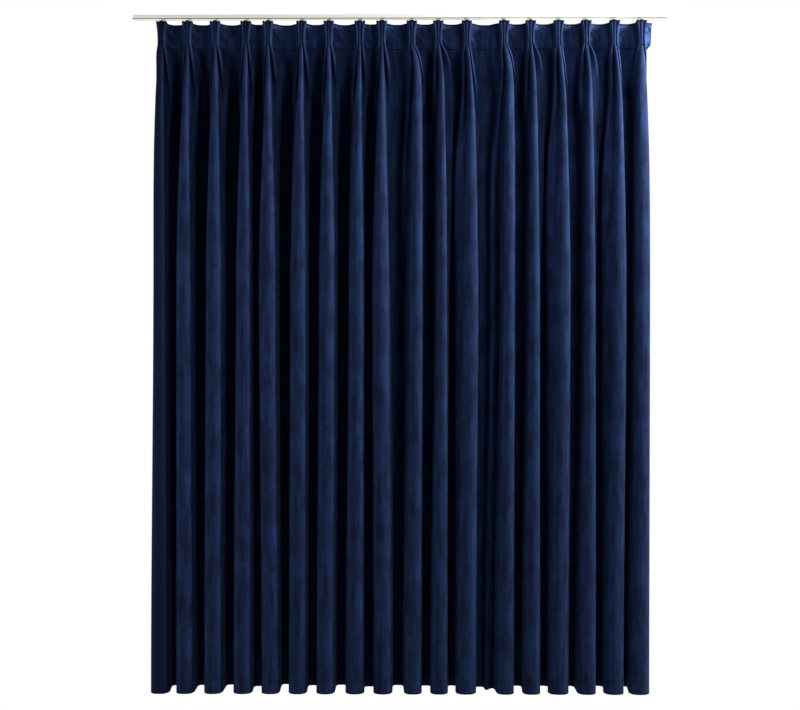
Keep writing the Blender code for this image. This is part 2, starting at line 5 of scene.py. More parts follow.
import bmesh
import bpy
import numpy as np
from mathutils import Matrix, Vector


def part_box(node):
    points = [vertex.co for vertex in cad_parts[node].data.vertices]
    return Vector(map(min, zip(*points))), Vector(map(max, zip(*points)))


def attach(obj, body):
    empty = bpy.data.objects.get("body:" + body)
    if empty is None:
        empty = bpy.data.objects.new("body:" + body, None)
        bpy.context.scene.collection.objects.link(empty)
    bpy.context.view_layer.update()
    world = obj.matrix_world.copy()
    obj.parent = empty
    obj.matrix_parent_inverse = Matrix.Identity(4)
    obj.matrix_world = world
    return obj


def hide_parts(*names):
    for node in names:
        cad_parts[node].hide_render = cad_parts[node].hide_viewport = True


bl_info = {
    "name": "Pinch Pleat Curtain",
    "version": (1, 0, 0),
    "blender": (4, 5, 0),
    "location": "View3D > Sidebar > Curtain",
    "description": "Velvet curtain with triple pinch pleats on a ceiling track",
    "category": "Object",
}

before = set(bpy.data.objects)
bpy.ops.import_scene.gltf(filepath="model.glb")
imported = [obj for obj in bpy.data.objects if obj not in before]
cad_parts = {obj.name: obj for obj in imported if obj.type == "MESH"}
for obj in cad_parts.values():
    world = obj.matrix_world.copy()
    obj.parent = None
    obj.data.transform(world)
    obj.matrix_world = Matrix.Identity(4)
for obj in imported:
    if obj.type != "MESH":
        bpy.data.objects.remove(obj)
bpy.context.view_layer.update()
TRACK_LOW, TRACK_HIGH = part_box("track")
CLOTH_LOW, CLOTH_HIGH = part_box("curtain_panel")
BODY = "root"
CLOTH_DROP = CLOTH_HIGH[2] - CLOTH_LOW[2]

# ------------------------------------------------------------ fold geometry
HEADING = 0.090                  # depth of the stiffened heading
FOLD = 0.030                     # depth of one pinched fold, three to a pleat
HEADING_EASE = 1.04              # cloth to span of the heading between two pleats
END_FLAP = 0.030                 # cloth beyond the first and the last pleat
PLEAT_FRONT = -0.034             # front of the pinched folds
LOBE_FRONT = -0.053              # front of the rounded folds below them
PLEAT_BACK_ANGLE = math.radians(91)
FAN_AT_TOP = math.radians(7)     # the outer folds spread at the top edge
OPENING_DROP = 0.24              # drop over which a pleat opens into one fold
OPENING_POWER = 1.2
PANEL_OPENS_OVER = 0.20          # drop over which the flat heading turns into a valley
WAIST_DROP = 0.89                # where the pleats' waist columns are measured
PINCHED_HALF = 0.022             # what the shares of a pinched fold's front are taken of
FRONT_ROUNDING = 1.9             # turn of a fold's front to its half width
CREASE = 0.006                   # cloth in the crease behind a pinched fold
OPEN_CREASE = 0.030
BACK_TURN = 0.026
BACK_FLAT = 0.004                # half the flat at the back of a valley
WALL_ANGLE = math.radians(88)
FLAP_TURNS_FROM = 0.075          # drop at which the end flaps start to turn back
FLAP_TURNS_OVER = 0.030
LEFT_FLAP = math.radians(78)     # how far each end flap of the heading turns back
RIGHT_FLAP = math.radians(12)
SNUG_SPAN = 0.040                # pleats this close leave no room for side ridges
FULL_SPAN = 0.105
PATH_STEPS = 700
SOLVER_ROUNDS = 40
SOLVER_MISS = 1e-7               # metres
SOLVER_STEP = 0.2                # most that an angle changes in one round

# How the sheet's top edge sags, and how its rows and columns are spaced
PANEL_BEGINS = 2.8 * FOLD        # cloth from a pleat's middle to the flat heading
PANEL_BEGINS_OVER = 0.6 * FOLD
SAG_HALF_GONE = 0.03             # drop at which half of the sag is left
SAG_FADES_OVER = 0.06
OPENED_DROP = 0.50               # rows lie close above this drop
HEM_BAND = 0.06                  # and in this height at the hem
HEADING_ROWS, OPENING_ROWS, HANGING_ROWS, HEM_ROWS = 10, 21, 33, 6
FRONT_PARTS, TROUGH_PARTS, RIDGE_PARTS, CREASE_PARTS, VALLEY_PARTS = 4, 2, 3, 2, 3
FLAP_COLUMNS = 5
EVENNESS = 0.06                  # how far the columns are moved towards even spacing

Pleat = namedtuple("Pleat", "head waist hem waist_half hem_half settles left right")
PLEATS = (
    Pleat(-0.872, -0.875, -0.874, 0.019, 0.029, 0.89, "end", "inner"),
    Pleat(-0.777, -0.789, -0.784, 0.022, 0.028, 0.89, "outer", "inner"),
    Pleat(-0.676, -0.678, -0.681, 0.024, 0.028, 0.89, "outer", "inner"),
    Pleat(-0.564, -0.569, -0.573, 0.023, 0.029, 0.89, "outer", "inner"),
    Pleat(-0.482, -0.484, -0.472, 0.028, 0.028, 0.89, "outer", "inner"),
    Pleat(-0.360, -0.369, -0.373, 0.024, 0.028, 0.89, "outer", "inner"),
    Pleat(-0.260, -0.266, -0.272, 0.024, 0.028, 0.89, "outer", "inner"),
    Pleat(-0.147, -0.157, -0.164, 0.023, 0.029, 0.89, "outer", "inner"),
    Pleat(-0.066, -0.071, -0.063, 0.027, 0.029, 0.89, "outer", "inner"),
    Pleat(0.043, 0.060, 0.048, 0.017, 0.027, 0.21, "far", "bold"),
    Pleat(0.140, 0.153, 0.142, 0.0145, 0.027, 0.25, "inner", "flat"),
    Pleat(0.244, 0.259, 0.239, 0.020, 0.034, 0.32, "shoulder", "outer"),
    Pleat(0.380, 0.396, 0.384, 0.017, 0.026, 0.21, "valley", "bold"),
    Pleat(0.477, 0.488, 0.478, 0.0155, 0.027, 0.25, "inner", "flat"),
    Pleat(0.579, 0.595, 0.576, 0.020, 0.034, 0.32, "shoulder", "outer"),
    Pleat(0.679, 0.690, 0.679, 0.0155, 0.028, 0.25, "inner", "flat"),
    Pleat(0.782, 0.798, 0.778, 0.020, 0.033, 0.32, "shoulder", "outer"),
    Pleat(0.880, 0.880, 0.869, 0.024, 0.032, 0.21, "end", "end"),
)

# Half width of a fold's front, as a share of its half width at the waist and below: for
# the folds in general and for the sides that open at once
Front = namedtuple("Front", "drop share quick_share")
QUICK_SIDES = ("end", "bold")
FRONTS = (
    Front(0.000, 0.35, 0.35), Front(0.030, 0.26, 0.26), Front(0.060, 0.20, 0.20),
    Front(0.090, 0.19, 0.19), Front(0.120, 0.20, 0.42), Front(0.195, 0.24, 0.62),
    Front(0.286, 0.34, 0.74), Front(0.377, 0.44, 0.84), Front(0.470, 0.55, 0.92),
    Front(0.650, 0.78, 1.00), Front(0.890, 1.00, 1.00), Front(2.450, 1.00, 1.00),
)

# A pleat's side fold as it runs down: where its trough and its ridge lie, in folds of cloth,
# the angles in degrees of the cloth going back to the trough and forward to the ridge, how
# much of these angles holds, the cloth in each turn, and how far the valley moves aside.
Side = namedtuple(
    "Side", "drop trough ridge back forward hold trough_turn ridge_turn shift")
PINCHED = (
    Side(0.000, 1.00, 2.00, 107, -84, 1.00, 0.004, 0.018, 0.000),
    Side(0.035, 1.00, 2.00, 103, -83, 1.00, 0.004, 0.014, 0.000),
    Side(0.090, 1.00, 2.00, 99, -82, 1.00, 0.004, 0.013, 0.000),
)
HANGING = (
    Side(0.650, 2.00, 2.29, 85, 85, 0.00, 0.014, 0.024, 0.000),
    Side(2.450, 2.00, 2.29, 85, 85, 0.00, 0.014, 0.024, 0.000),
)
SIDES = {
    "inner": PINCHED + (
        Side(0.120, 1.10, 2.00, 86, -82, 1.00, 0.006, 0.015, 0.000),
        Side(0.195, 1.35, 2.00, 79, -66, 1.00, 0.010, 0.018, 0.000),
        Side(0.286, 1.65, 2.10, 75, -35, 0.90, 0.014, 0.022, 0.000),
        Side(0.377, 1.95, 2.20, 76, 35, 0.60, 0.014, 0.024, 0.000),
        Side(0.470, 2.00, 2.29, 80, 80, 0.25, 0.014, 0.024, 0.000)) + HANGING,
    "outer": PINCHED + (
        Side(0.120, 1.10, 1.95, 89, -86, 1.00, 0.005, 0.010, 0.000),
        Side(0.195, 1.32, 1.90, 88, -80, 1.00, 0.006, 0.010, 0.000),
        Side(0.286, 1.72, 1.95, 87, -30, 0.90, 0.010, 0.014, 0.000),
        Side(0.377, 1.95, 2.05, 86, 50, 0.60, 0.014, 0.020, 0.000),
        Side(0.470, 2.00, 2.29, 85, 85, 0.25, 0.014, 0.024, 0.000)) + HANGING,
    "bold": PINCHED + (
        Side(0.120, 1.12, 1.95, 89, -86, 1.00, 0.005, 0.010, 0.000),
        Side(0.195, 1.45, 1.85, 89, -78, 1.00, 0.006, 0.010, 0.000),
        Side(0.250, 1.68, 1.76, 89, -30, 1.00, 0.006, 0.010, 0.000),
        Side(0.286, 1.72, 1.78, 88, 60, 0.80, 0.008, 0.012, 0.000),
        Side(0.377, 1.95, 2.05, 87, 80, 0.50, 0.014, 0.020, 0.000)) + HANGING,
    "flat": PINCHED + (
        Side(0.120, 1.08, 2.00, 90, -45, 1.00, 0.005, 0.014, 0.000),
        Side(0.195, 1.20, 2.20, 88, -5, 1.00, 0.008, 0.018, 0.000),
        Side(0.286, 1.35, 2.40, 88, 0, 1.00, 0.010, 0.020, 0.000),
        Side(0.377, 1.40, 2.45, 87, 6, 1.00, 0.012, 0.024, 0.000),
        Side(0.470, 1.45, 2.45, 86, 12, 1.00, 0.016, 0.028, 0.000),
        Side(0.650, 1.52, 2.40, 84, 24, 1.00, 0.020, 0.030, 0.000),
        Side(0.890, 1.62, 2.35, 83, 40, 0.80, 0.020, 0.030, 0.000),
        Side(1.500, 1.85, 2.30, 83, 62, 0.40, 0.018, 0.028, 0.000),
        Side(2.450, 2.00, 2.29, 85, 85, 0.00, 0.014, 0.024, 0.000)),
    "far": PINCHED + (
        Side(0.120, 1.07, 2.00, 86, -84, 1.00, 0.006, 0.015, 0.000),
        Side(0.195, 1.45, 2.00, 87, -82, 1.00, 0.012, 0.016, 0.002),
        Side(0.286, 1.75, 2.20, 85, -70, 1.00, 0.018, 0.018, 0.012),
        Side(0.377, 2.05, 2.55, 83, -55, 1.00, 0.022, 0.022, 0.022),
        Side(0.470, 2.20, 2.90, 81, -45, 1.00, 0.026, 0.024, 0.033),
        Side(0.650, 2.40, 3.20, 80, -25, 0.80, 0.028, 0.026, 0.038),
        Side(0.890, 2.50, 3.20, 82, 10, 0.40, 0.030, 0.028, 0.020),
        Side(1.500, 2.20, 2.60, 85, 70, 0.10, 0.020, 0.024, 0.000),
        Side(2.450, 2.00, 2.29, 85, 85, 0.00, 0.014, 0.024, 0.000)),
    "end": PINCHED + (
        Side(0.120, 1.10, 1.95, 89, -89, 1.00, 0.004, 0.007, 0.000),
        Side(0.180, 1.45, 1.85, 89, -88, 1.00, 0.004, 0.006, 0.000),
        Side(0.220, 1.68, 1.74, 89, -60, 1.00, 0.004, 0.006, 0.000),
        Side(0.250, 1.70, 1.72, 89, 89, 0.80, 0.006, 0.008, 0.000),
        Side(0.377, 1.90, 2.10, 89, 89, 0.40, 0.012, 0.016, 0.000),
        Side(0.650, 2.00, 2.29, 88, 88, 0.00, 0.014, 0.024, 0.000),
        Side(2.450, 2.00, 2.29, 88, 88, 0.00, 0.014, 0.024, 0.000)),
    "shoulder": PINCHED + (
        Side(0.120, 1.07, 2.00, 86, -84, 1.00, 0.006, 0.015, 0.002),
        Side(0.195, 1.40, 2.05, 88, -84, 1.00, 0.022, 0.016, 0.010),
        Side(0.286, 1.50, 2.15, 86, -78, 1.00, 0.024, 0.018, 0.030),
        Side(0.377, 1.50, 2.20, 82, -60, 1.00, 0.026, 0.022, 0.045),
        Side(0.470, 1.50, 2.30, 74, -30, 1.00, 0.026, 0.026, 0.050),
        Side(0.650, 1.50, 2.43, 56, 4, 0.90, 0.024, 0.030, 0.048),
        Side(0.890, 1.43, 2.50, 42, 22, 0.80, 0.020, 0.034, 0.037),
        Side(1.500, 1.50, 2.50, 40, 24, 0.80, 0.020, 0.034, 0.010),
        Side(2.450, 2.00, 2.50, 85, 85, 0.00, 0.020, 0.034, -0.007)),
    "valley": PINCHED + (
        Side(0.120, 1.07, 2.00, 84, -82, 1.00, 0.006, 0.015, 0.000),
        Side(0.195, 1.45, 2.00, 87, -82, 1.00, 0.012, 0.016, 0.004),
        Side(0.286, 1.85, 2.30, 84, -70, 1.00, 0.018, 0.020, 0.021),
        Side(0.377, 2.29, 2.85, 82, -55, 1.00, 0.022, 0.022, 0.036),
        Side(0.470, 2.64, 3.43, 78, -45, 1.00, 0.024, 0.026, 0.066),
        Side(0.650, 2.93, 4.00, 80, -60, 1.00, 0.030, 0.028, 0.097),
        Side(0.890, 3.07, 4.21, 84, -68, 1.00, 0.034, 0.030, 0.103),
        Side(2.450, 3.07, 4.14, 86, -66, 1.00, 0.034, 0.030, 0.093)),
}


def rise(place, middle, width):
    """A smooth rise from 0 to 1, centred on middle."""
    part = np.clip((place - middle) / width + 0.5, 0, 1)
    return part * part * (3 - 2 * part)


def ease(value):
    return rise(value, 0.5, 1.0)


def from_table(table, drop):
    """A table's row at one drop, read between its rows."""
    drops = [row[0] for row in table]
    columns = list(zip(*table))
    return type(table[0])(*(float(np.interp(drop, drops, column)) for column in columns))


def openness(drop):
    """0 where the pleat is pinched, rising to 1 where it hangs as one fold."""
    return 1 - math.exp(-(max(0.0, drop - HEADING) / OPENING_DROP) ** OPENING_POWER)


def pleat_middle(pleat, drop):
    """Where the middle of a pleat lies across the curtain."""
    to_waist = 1 - (1 - np.clip((drop - HEADING) / (pleat.settles - HEADING), 0, 1)) ** 2
    to_hem = ease((drop - WAIST_DROP) / (CLOTH_DROP - WAIST_DROP))
    return (pleat.head + (pleat.waist - pleat.head) * to_waist
            + (pleat.hem - pleat.waist) * to_hem)


def side_shape(pleat, kind, drop, room):
    """Everything that sets one side of a pleat at one drop."""
    side = from_table(SIDES[kind], drop)
    to_waist = ease((drop - HEADING) / (WAIST_DROP - HEADING))
    to_hem = ease((drop - WAIST_DROP) / (CLOTH_DROP - WAIST_DROP))
    half = (PINCHED_HALF + (pleat.waist_half - PINCHED_HALF) * to_waist
            + (pleat.hem_half - pleat.waist_half) * to_hem)
    width = from_table(FRONTS, drop)
    front = half * (width.quick_share if kind in QUICK_SIDES else width.share)
    return {
        "front": front, "front_turn": FRONT_ROUNDING * front,
        "trough": FOLD * side.trough, "trough_turn": side.trough_turn,
        "ridge": FOLD * side.ridge, "ridge_turn": side.ridge_turn,
        "back": math.radians(90 - (90 - side.back) * room),
        "forward": math.radians((90 + side.forward) * room - 90),
        "hold": side.hold, "shift": side.shift,
        "crease_turn": CREASE + OPEN_CREASE * openness(drop),
        "opened": float(ease((drop - HEADING) / PANEL_OPENS_OVER)),
        "fan": FAN_AT_TOP * max(0.0, 1 - drop / HEADING) ** 2,
    }


def side_folds(shape, along):
    """Turning angle of the pinched folds on one side of a pleat."""
    hold, pinned = shape["hold"], PLEAT_BACK_ANGLE * (1 - shape["opened"])
    back, forward = hold * shape["back"], hold * shape["forward"]
    crease = 3 * FOLD
    fan = rise(along, shape["trough"], shape["trough_turn"])
    fan = fan - rise(along, crease, shape["crease_turn"])
    return (back * rise(along, shape["front"], shape["front_turn"])
            + (forward - back) * rise(along, shape["trough"], shape["trough_turn"])
            + (pinned - forward) * rise(along, shape["ridge"], shape["ridge_turn"])
            - pinned * rise(along, crease, shape["crease_turn"])
            + shape["fan"] * fan)


def side_wall(shape, along, middle):
    """1 on the wall that goes back to the valley, 0 at the fold's front and the valley's back."""
    loose = 1 - shape["hold"]
    return (loose * rise(along, shape["front"], shape["front_turn"])
            + (shape["opened"] - loose) * rise(along, shape["ridge"], shape["ridge_turn"])
            + (1 - shape["opened"]) * rise(along, 3 * FOLD, shape["crease_turn"])
            - rise(along, middle - BACK_FLAT - BACK_TURN / 2, BACK_TURN))


def running_sum(values, step):
    return np.concatenate([[0], np.cumsum((values[1:] + values[:-1]) / 2 * step)])


def pinched_width():
    """Width of a pleat at its tack, where the heading ends."""
    shape = side_shape(PLEATS[2], "inner", HEADING, 1)
    along = np.linspace(0, 3 * FOLD + CREASE / 2, PATH_STEPS)
    width = running_sum(np.cos(side_folds(shape, along)), along[1])[-1]
    return 2 * (width - CREASE / 2)


def cloth_between(left, right):
    """Length of cloth from the middle of one pleat to the middle of the next."""
    return 6 * FOLD + (right.head - left.head - pinched_width()) * HEADING_EASE


def gap_shapes(left, right, drop):
    """The two sides that face each other across a gap, and the valley's place."""
    span = right.head - left.head
    room = min(1.0, (span - SNUG_SPAN) / (FULL_SPAN - SNUG_SPAN))
    first = side_shape(left, left.right, drop, room)
    second = side_shape(right, right.left, drop, room)
    return first, second, cloth_between(left, right) * (0.5 - second["shift"])


def gap_path(left, right, drop):
    """Path of the cloth from one pleat's middle to the next at one drop."""
    length = cloth_between(left, right)
    first, second, middle = gap_shapes(left, right, drop)
    along = np.linspace(0, length, PATH_STEPS)
    step = along[1]
    before = along <= middle
    rest = length - along
    folds = np.where(before, side_folds(first, along), -side_folds(second, rest))
    walls = np.where(
        before, side_wall(first, along, middle), -side_wall(second, rest, length - middle))
    lean_share = np.sin(math.pi * along / length)
    start = pleat_middle(left, drop)
    span = pleat_middle(right, drop) - start
    unknown = np.array([1.0, 0.0])
    for _ in range(SOLVER_ROUNDS):
        angle = folds + unknown[0] * walls + unknown[1] * lean_share
        x = running_sum(np.cos(angle), step)
        y = running_sum(np.sin(angle), step)
        miss = np.array([x[-1] - span, y[-1]])
        if abs(miss).max() < SOLVER_MISS:
            break
        slopes = np.array([
            [running_sum(-np.sin(angle) * walls, step)[-1],
             running_sum(-np.sin(angle) * lean_share, step)[-1]],
            [running_sum(np.cos(angle) * walls, step)[-1],
             running_sum(np.cos(angle) * lean_share, step)[-1]]])
        change = np.linalg.solve(slopes, -miss)
        unknown = unknown + np.clip(change, -SOLVER_STEP, SOLVER_STEP)
    return along, start + x, y


def end_path(pleat, kind, drop, flap_angle):
    """Path of the cloth from an end pleat's middle out to the selvedge."""
    shape = side_shape(pleat, kind, drop, 1)
    along = np.linspace(0, 3 * FOLD + END_FLAP, PATH_STEPS)
    loose = (1 - shape["hold"]) * rise(along, shape["front"], shape["front_turn"])
    loose = loose + (shape["opened"] + shape["hold"] - 1) * rise(
        along, shape["ridge"], shape["ridge_turn"])
    loose = loose + (1 - shape["opened"]) * rise(along, 3 * FOLD, CREASE)
    turned = float(ease((drop - FLAP_TURNS_FROM) / FLAP_TURNS_OVER))
    flap = flap_angle + (WALL_ANGLE - flap_angle) * turned
    angle = side_folds(shape, along) + flap * loose
    x = running_sum(np.cos(angle), along[1])
    y = running_sum(np.sin(angle), along[1])
    return along, pleat_middle(pleat, drop), x, y


def turn_columns(middle, width, parts):
    return [middle + width * (part / parts - 0.5) for part in range(parts + 1)]


def side_columns(shape, valley):
    """Places of the columns from a pleat's middle to the valley's, close in each turn.

    Without a valley they run to the selvedge.
    """
    places = [0.0] + turn_columns(shape["front"], shape["front_turn"], FRONT_PARTS)
    places += turn_columns(shape["trough"], shape["trough_turn"], TROUGH_PARTS)
    places += turn_columns(shape["ridge"], shape["ridge_turn"], RIDGE_PARTS)
    places += turn_columns(3 * FOLD, shape["crease_turn"], CREASE_PARTS)
    if valley is None:
        valley = 3 * FOLD + END_FLAP
        places += list(np.linspace(3 * FOLD + CREASE, valley, FLAP_COLUMNS))
    else:
        back = valley - BACK_FLAT - BACK_TURN / 2
        places += turn_columns(back, BACK_TURN, VALLEY_PARTS) + [valley]
    places = np.sort(np.clip(places, 0, valley))
    spread = np.linspace(0, valley, len(places))
    return places * (1 - EVENNESS) + spread * EVENNESS


def row_points(drop):
    """One row of the sheet, selvedge to selvedge: flat place, x and y."""
    front = PLEAT_FRONT + (LOBE_FRONT - PLEAT_FRONT) * openness(drop)
    first, last = PLEATS[0], PLEATS[-1]
    flat, xs, ys = [], [], []
    end = 3 * FOLD + END_FLAP

    along, start, x, y = end_path(first, first.left, drop, LEFT_FLAP)
    outward = side_columns(side_shape(first, first.left, drop, 1), None)[:0:-1]
    flat.append(end - outward)
    xs.append(start - np.interp(outward, along, x))
    ys.append(np.interp(outward, along, y))
    begin = end
    for left, right in zip(PLEATS, PLEATS[1:]):
        along, x, y = gap_path(left, right, drop)
        one, two, middle = gap_shapes(left, right, drop)
        length = along[-1]
        back = length - side_columns(two, length - middle)[:0:-1]
        places = np.concatenate([side_columns(one, middle)[:-1], back])
        flat.append(begin + places)
        xs.append(np.interp(places, along, x))
        ys.append(np.interp(places, along, y))
        begin += length
    along, start, x, y = end_path(last, last.right, drop, RIGHT_FLAP)
    places = side_columns(side_shape(last, last.right, drop, 1), None)
    flat.append(begin + places)
    xs.append(start + np.interp(places, along, x))
    ys.append(np.interp(places, along, y))
    return np.concatenate(flat), np.concatenate(xs), np.concatenate(ys) + front


def row_drops(full):
    """Drops of the sheet's rows: close in the heading, where it opens and at the hem."""
    return np.concatenate([
        np.linspace(0, HEADING, HEADING_ROWS)[:-1],
        np.linspace(HEADING, OPENED_DROP, OPENING_ROWS)[:-1],
        np.linspace(OPENED_DROP, full - HEM_BAND, HANGING_ROWS)[:-1],
        np.linspace(full - HEM_BAND, full, HEM_ROWS)])


# ------------------------------------------------------------------ settings
class CurtainCloth(bpy.types.PropertyGroup):
    """Sizes and colours of the velvet."""
    drop: bpy.props.FloatProperty(
        name="Drop", description="Pleat tops to hem", default=CLOTH_DROP, unit="LENGTH")
    thickness: bpy.props.FloatProperty(
        name="Thickness", description="Thickness of the velvet with its pile", default=0.0016,
        unit="LENGTH")
    side_dip: bpy.props.FloatProperty(
        name="Side fold dip", description="How far a pleat's outer folds lie below its middle one",
        default=0.0025, unit="LENGTH")
    panel_dip: bpy.props.FloatProperty(
        name="Heading dip", description="How far the heading lies below the pleats' tops",
        default=0.0009, unit="LENGTH")
    hem: bpy.props.FloatProperty(
        name="Hem depth", description="Height of the bottom hem", default=0.049, unit="LENGTH")
    ground: bpy.props.FloatVectorProperty(
        name="Ground colour", description="Velvet seen into its pile", subtype="COLOR", size=4,
        default=(0.0080, 0.0160, 0.050, 1), min=0, max=1)
    bloom: bpy.props.FloatVectorProperty(
        name="Bloom colour", description="Velvet where the pile lies towards the light",
        subtype="COLOR", size=4, default=(0.0250, 0.0550, 0.178, 1), min=0, max=1)
    sheen: bpy.props.FloatVectorProperty(
        name="Sheen colour", description="Light caught on the tips of the pile", subtype="COLOR",
        size=4, default=(0.104, 0.162, 0.244, 1), min=0, max=1)
    # edge: painted shade along the top and hem edges, and the colour of the stitch lines
    edge: bpy.props.FloatVectorProperty(
        name="Edge colour", description="Velvet on the turned edges and in the stitch lines",
        subtype="COLOR", size=4, default=(0.0015, 0.003, 0.008, 1), min=0, max=1)


class CurtainTrack(bpy.types.PropertyGroup):
    """Sizes and colours of the track and what runs in it."""
    wall: bpy.props.FloatProperty(
        name="Wall", description="Thickness of the track's wall", default=0.0016, unit="LENGTH")
    slot: bpy.props.FloatProperty(
        name="Slot", description="Width of the slot underneath", default=0.005, unit="LENGTH")
    rounding: bpy.props.FloatProperty(
        name="Rounding", description="Radius of the track's edges", default=0.0006, unit="LENGTH")
    coat: bpy.props.FloatVectorProperty(
        name="Coating", description="Satin off-white coating", subtype="COLOR", size=4,
        default=(0.80, 0.80, 0.74, 1), min=0, max=1)
    shade: bpy.props.FloatVectorProperty(
        name="Slot shade", description="Coating in the shade along the slot", subtype="COLOR",
        size=4, default=(0.055, 0.058, 0.050, 1), min=0, max=1)
    glider: bpy.props.FloatVectorProperty(
        name="Glider colour", description="Cream moulded plastic", subtype="COLOR", size=4,
        default=(0.86, 0.85, 0.80, 1), min=0, max=1)


# ------------------------------------------------------------------ node tools
def add_node(tree, kind, **values):
    node = tree.nodes.new(kind)
    for name, value in values.items():
        setattr(node, name, value)
    return node


def new_material(name):
    material = bpy.data.materials.new(name)
    material.use_nodes = True
    return material, material.node_tree, material.node_tree.nodes["Principled BSDF"]


def new_group(name, inputs, outputs):
    """A shader node group with named sockets, given as name: socket type."""
    group = bpy.data.node_groups.new(name, "ShaderNodeTree")
    for label, kind in inputs.items():
        group.interface.new_socket(label, in_out="INPUT", socket_type=kind)
    for label, kind in outputs.items():
        group.interface.new_socket(label, in_out="OUTPUT", socket_type=kind)
    start = add_node(group, "NodeGroupInput")
    end = add_node(group, "NodeGroupOutput")
    return group, start, end


def use_group(tree, group, **values):
    node = add_node(tree, "ShaderNodeGroup", node_tree=group)
    for name, value in values.items():
        node.inputs[name].default_value = value
    return node


def math_node(tree, operation, first, second):
    """A Math node of two values, each a socket or a number."""
    node = add_node(tree, "ShaderNodeMath", operation=operation)
    for socket, value in zip(node.inputs, (first, second)):
        if isinstance(value, bpy.types.NodeSocket):
            tree.links.new(value, socket)
        else:
            socket.default_value = value
    return node.outputs["Value"]


def map_range(tree, value, low, high, to_low=0.0, to_high=1.0):
    node = add_node(tree, "ShaderNodeMapRange", interpolation_type="SMOOTHSTEP")
    tree.links.new(value, node.inputs["Value"])
    for name, number in (("From Min", low), ("From Max", high),
                         ("To Min", to_low), ("To Max", to_high)):
        node.inputs[name].default_value = number
    return node.outputs["Result"]


def noise(tree, vector, scale, stretch, detail=2.0, roughness=0.5):
    """Noise whose features are stretched by a factor along each axis."""
    mapping = add_node(tree, "ShaderNodeMapping")
    mapping.inputs["Scale"].default_value = stretch
    tree.links.new(vector, mapping.inputs["Vector"])
    texture = add_node(tree, "ShaderNodeTexNoise")
    texture.inputs["Scale"].default_value = scale
    texture.inputs["Detail"].default_value = detail
    texture.inputs["Roughness"].default_value = roughness
    tree.links.new(mapping.outputs["Vector"], texture.inputs["Vector"])
    return texture.outputs["Fac"]


# A pattern made from noise: its scale and how it is stretched, its detail and roughness,
# and the values between which it rises from 0 to 1
Pattern = namedtuple("Pattern", "scale stretch detail roughness low high")
PATCHES = Pattern(27, (1.0, 0.30, 1), 5, 0.62, 0.31, 0.69)
STREAKS = Pattern(75, (1.0, 0.10, 1), 3, 0.6, 0.36, 0.66)
SMUDGES = Pattern(34, (1.0, 0.75, 1), 3, 0.6, 0.29, 0.44)
CREASES = Pattern(36, (1.5, 0.5, 1), 3, 0.55, 0.42, 0.62)
GRAIN_SCALE, GRAIN_LOW, GRAIN_HIGH = 400, 0.3, 0.7
GRAIN_SPREAD = 0.05              # how far the roughness wanders

# How much each pattern adds to the bloom, the painted highlight that the heading's creases add,
# and where these creases lie
PATCH_SHARE = 0.62
STREAK_SHARE = 0.38
SMUDGE_SHARE = 0.55
# painted highlight of the heading's creases, brightest beside each pleat
CREASE_HIGHLIGHT_SHARE = 1.3
CREASE_SLANT = math.radians(-38)
CREASES_AND_LIGHT_HALF_GONE = 0.030        # cloth from a pleat to where half of the creases and their painted light is left
CREASES_AND_LIGHT_FADE_OVER = 0.052
CREASES_END = (-0.010, 0.006)    # from the foot of the heading
FIRST_FOLD_SHADE_SHARE = 0.10               # share of the bloom kept in the painted shade on the first fold
FIRST_FOLD_SHADE_FROM, FIRST_FOLD_SHADE_TO = 0.145, 0.180    # from the left selvedge to where the painted shade ends

# Stitch lines, and painted shade along the top and hem edges: places, widths and how dark they are
STITCH_BELOW_HEADING = 0.004
STITCH_HALF = 0.0022
STITCH_SHADE = 0.55
STITCH_PINCH = 0.35              # depth of the stitches as a share of the creases' depth
TOP_EDGE = (0.0052, 0.0085)      # drops between which the painted shade along the top edge ends
HEM_EDGE = (0.006, 0.003)        # heights above the hem between which it begins again
EDGE_SHADE = 0.9
CREASE_DEPTH = 0.006
PILE_SCALE, PILE_STRENGTH, PILE_DEPTH = 900, 0.25, 0.0005

# Finishes of the plain pieces, and the painted glow that brightens the track and the gliders
COAT_ROUGHNESS, COAT_PAINTED_GLOW = 0.34, 0.5
GLIDER_ROUGHNESS, GLIDER_PAINTED_GLOW = 0.38, 0.2
STEEL, STEEL_ROUGHNESS = (0.62, 0.62, 0.63, 1), 0.28
SHADE_HEIGHTS = (0.0002, 0.0016)  # above the track's lowest point
SHADE_DEPTH = 0.001               # to each side of the slot's middle


def pattern(tree, vector, look):
    """A mask from one of the patterns."""
    value = noise(tree, vector, look.scale, look.stretch, look.detail, look.roughness)
    return map_range(tree, value, look.low, look.high)


def grain_group():
    """Fine uneven gloss: a roughness that wanders round the one given."""
    group, start, end = new_group(
        "fine_grain", {"Vector": "NodeSocketVector", "Roughness": "NodeSocketFloat"},
        {"Roughness": "NodeSocketFloat"})
    grain = noise(group, start.outputs["Vector"], GRAIN_SCALE, (1, 1, 1))
    spread = map_range(group, grain, GRAIN_LOW, GRAIN_HIGH, -GRAIN_SPREAD, GRAIN_SPREAD)
    total = math_node(group, "ADD", start.outputs["Roughness"], spread)
    group.links.new(total, end.inputs["Roughness"])
    return group


def line_mask(tree, value, place, half_width):
    """1 on a line at one place, falling to 0 at half its width."""
    away = math_node(tree, "ABSOLUTE", math_node(tree, "SUBTRACT", value, place), 0)
    return map_range(tree, away, 0, half_width, 1, 0)


